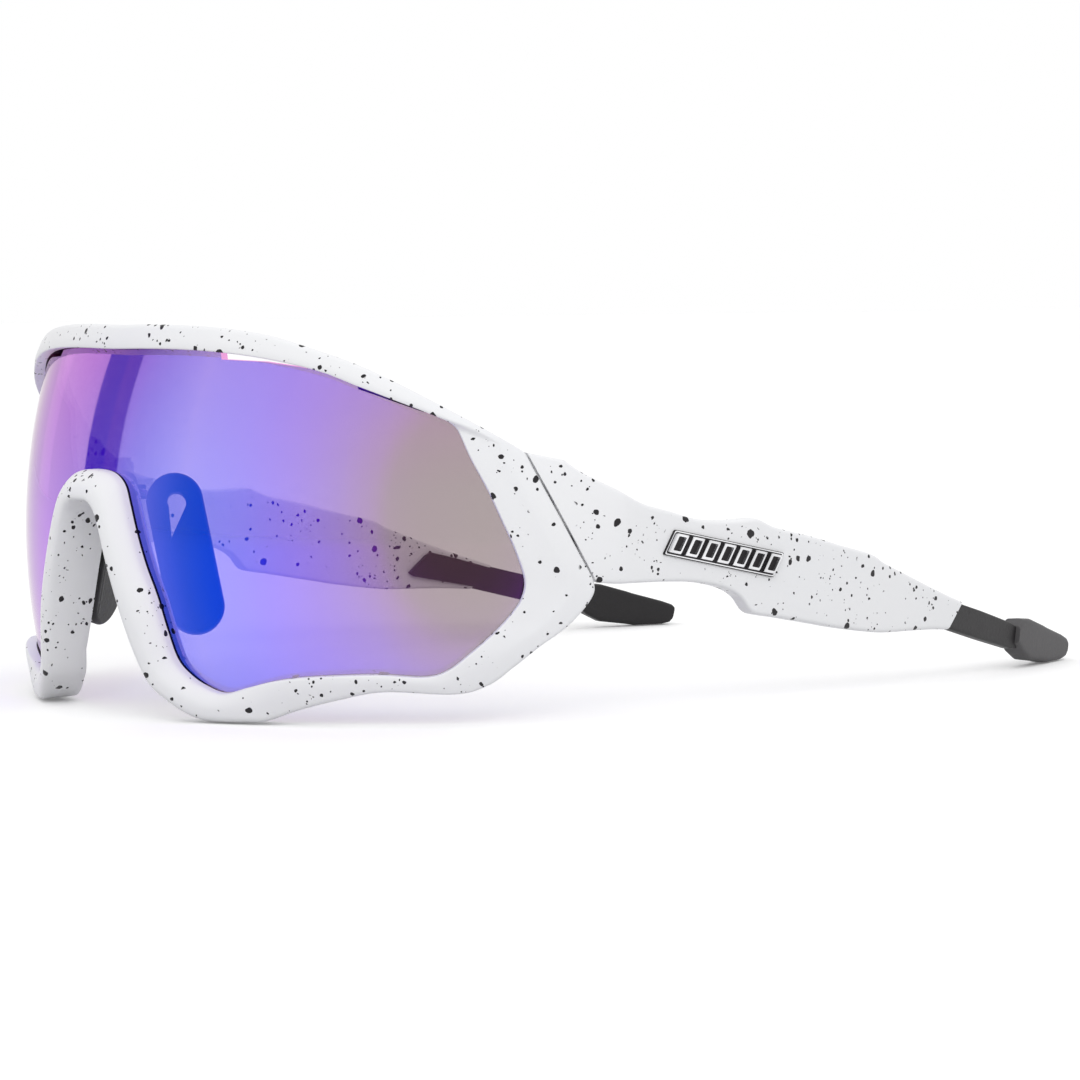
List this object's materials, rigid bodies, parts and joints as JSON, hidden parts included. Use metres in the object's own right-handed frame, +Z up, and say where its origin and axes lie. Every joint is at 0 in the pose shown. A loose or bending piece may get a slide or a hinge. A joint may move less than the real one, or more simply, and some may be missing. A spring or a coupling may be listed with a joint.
{
  "type": "sport sunglasses",
  "caption": "Wraparound sport sunglasses: full rim, one-piece mirrored shield lens, folding temples with rubber ends, swivelling nose pads.",
  "frame": {"origin": "under the middle of the glasses' box, on the surface they stand on", "axes": "+X to the wearer's left, +Y from the lens back to the temple tips, +Z up"},
  "size_m": [0.1482, 0.1812, 0.0651],
  "materials": {
    "splatter_white": "satin white with black splatter",
    "mirror_lens": "violet-blue mirror coating on a grey lens",
    "steel": "bright",
    "black_plastic": "matt",
    "pad_rubber": "soft matt",
    "core_rubber": "matt",
    "tip_rubber": "matt",
    "badge_metal": "dark chrome with raised bright slats"
  },
  "bodies": {
    "front": {"rim": "splatter_white", "lens": "mirror_lens", "nose_wire": "steel", "nose_clip": "black_plastic", "left_rim_hinge": "steel", "right_rim_hinge": "steel", "left_hinge_screw": "steel", "right_hinge_screw": "steel"},
    "left_pad": {"left_nose_pad": "pad_rubber"},
    "right_pad": {"right_nose_pad": "pad_rubber"},
    "left_arm": {"left_temple": "splatter_white", "left_temple_hinge": "steel", "left_badge": "badge_metal", "left_temple_core": "core_rubber", "left_inner_grip": "core_rubber", "left_tip": "tip_rubber"},
    "right_arm": {"right_temple": "splatter_white", "right_temple_hinge": "steel", "right_badge": "badge_metal", "right_temple_core": "core_rubber", "right_inner_grip": "core_rubber", "right_tip": "tip_rubber"}
  },
  "joints": [
    {"name": "left_fold", "type": "hinge", "parent": "front", "child": "left_arm", "pos_m": [0.064, -0.03698, 0.033], "axis": [0, 0, 1], "range_deg": [0, 88]},
    {"name": "right_fold", "type": "hinge", "parent": "front", "child": "right_arm", "pos_m": [-0.064, -0.03698, 0.033], "axis": [0, 0, -1], "range_deg": [0, 78]},
    {"name": "left_pad_swivel", "type": "hinge", "parent": "front", "child": "left_pad", "pos_m": [0.0094, -0.07888, 0.027], "axis": [-0.309, 0, 0.9511], "range_deg": [-8, 8]},
    {"name": "right_pad_swivel", "type": "hinge", "parent": "front", "child": "right_pad", "pos_m": [-0.0094, -0.07888, 0.027], "axis": [-0.309, 0, -0.9511], "range_deg": [-8, 8]}
  ]
}
